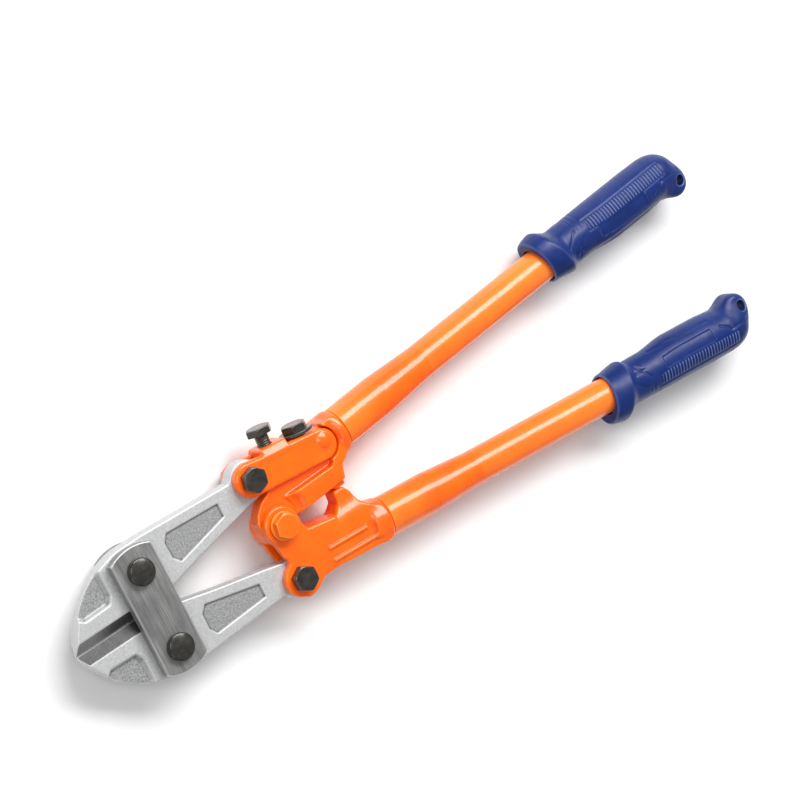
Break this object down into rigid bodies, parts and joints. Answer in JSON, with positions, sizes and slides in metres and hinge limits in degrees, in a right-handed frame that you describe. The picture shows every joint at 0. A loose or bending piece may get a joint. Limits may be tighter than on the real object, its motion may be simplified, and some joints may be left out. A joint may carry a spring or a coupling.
{
  "type": "bolt cutters",
  "caption": "Compound-action bolt cutters: two bevelled jaws between side plates, toggled by cast handle ends, an adjustable fork, tube handles and moulded grips.",
  "frame": {"origin": "under the middle of the tool as it lies flat with its blades closed, on the surface it lies on", "axes": "+X runs from the blades to the grips, +Y towards the upper handle, which carries the adjuster, +Z out of the front face, where the bolt heads are"},
  "size_m": [0.4551, 0.1256, 0.035],
  "materials": {
    "orange_paint": "gloss enamel over rough cast and tube steel",
    "jaw_steel": "satin forged alloy steel, ground bevels",
    "plate_steel": "dark brushed steel with bright chamfers",
    "black_oxide": "semi-gloss black oxide",
    "blue_vinyl": "moulded soft vinyl, semi-gloss"
  },
  "bodies": {
    "jaw_head": {"front_jaw_plate": "plate_steel", "rear_jaw_plate": "plate_steel", "upper_jaw_bolt": "black_oxide", "lower_jaw_bolt": "black_oxide", "upper_jaw_washer": "black_oxide", "lower_jaw_washer": "black_oxide", "upper_jaw_nut": "black_oxide", "lower_jaw_nut": "black_oxide"},
    "upper_jaw": {"upper_jaw": "jaw_steel"},
    "lower_jaw": {"lower_jaw": "jaw_steel"},
    "adjuster": {"adjuster_fork": "orange_paint", "adjuster_rivet": "orange_paint", "upper_toggle_bolt": "black_oxide", "upper_toggle_washer": "black_oxide", "upper_toggle_nut": "black_oxide"},
    "adjusting_screw": {"adjusting_screw": "black_oxide"},
    "upper_handle": {"upper_handle_casting": "orange_paint", "upper_tube": "orange_paint", "upper_grip": "blue_vinyl"},
    "locking_bolt": {"locking_bolt": "black_oxide", "locking_washer": "black_oxide"},
    "lower_handle": {"lower_handle_casting": "orange_paint", "lower_tube": "orange_paint", "lower_grip": "blue_vinyl", "lower_toggle_bolt": "black_oxide", "lower_toggle_washer": "black_oxide", "lower_toggle_nut": "black_oxide", "handle_pivot_bolt": "orange_paint", "handle_pivot_washer": "orange_paint", "handle_pivot_nut": "orange_paint"}
  },
  "joints": [
    {"name": "upper_jaw_pivot", "type": "hinge", "parent": "jaw_head", "child": "upper_jaw", "pos_m": [-0.17688, 0.0252, 0.0189], "axis": [0, 0, -1], "range_deg": [0, 9.8]},
    {"name": "lower_jaw_pivot", "type": "hinge", "parent": "jaw_head", "child": "lower_jaw", "pos_m": [-0.17688, -0.0208, 0.0189], "axis": [0, 0, 1], "range_deg": [0, 9.8]},
    {"name": "upper_toggle", "type": "hinge", "parent": "upper_jaw", "child": "adjuster", "pos_m": [-0.09519, 0.0328, 0.0189], "axis": [0, 0, 1], "range_deg": [0, 64.8]},
    {"name": "lower_toggle", "type": "hinge", "parent": "lower_jaw", "child": "lower_handle", "pos_m": [-0.09519, -0.0284, 0.0189], "axis": [0, 0, -1], "range_deg": [0, 64.8]},
    {"name": "adjuster_pivot", "type": "hinge", "parent": "adjuster", "child": "upper_handle", "pos_m": [-0.04733, 0.02912, 0.0189], "axis": [0, 0, 1], "range_deg": [-0.8, 0.8]},
    {"name": "adjusting_screw_travel", "type": "slide", "parent": "adjuster", "child": "adjusting_screw", "axis": [-0.0767, -0.9971, 0], "range_m": [-0.0004, 0.0004]},
    {"name": "locking_bolt_turn", "type": "hinge", "parent": "upper_handle", "child": "locking_bolt", "pos_m": [-0.05566, 0.03818, 0.0189], "axis": [0.0767, 0.9971, 0], "range_deg": [0, 360]}
  ],
  "couplings": [
    {"joint": "upper_jaw_pivot", "follows": "upper_toggle", "ratio": 0.1512},
    {"joint": "lower_jaw_pivot", "follows": "upper_toggle", "ratio": 0.1512},
    {"joint": "lower_toggle", "follows": "upper_toggle", "ratio": 1},
    {"joint": "adjusting_screw_travel", "follows": "adjuster_pivot", "m_per_rad": 0.028}
  ]
}
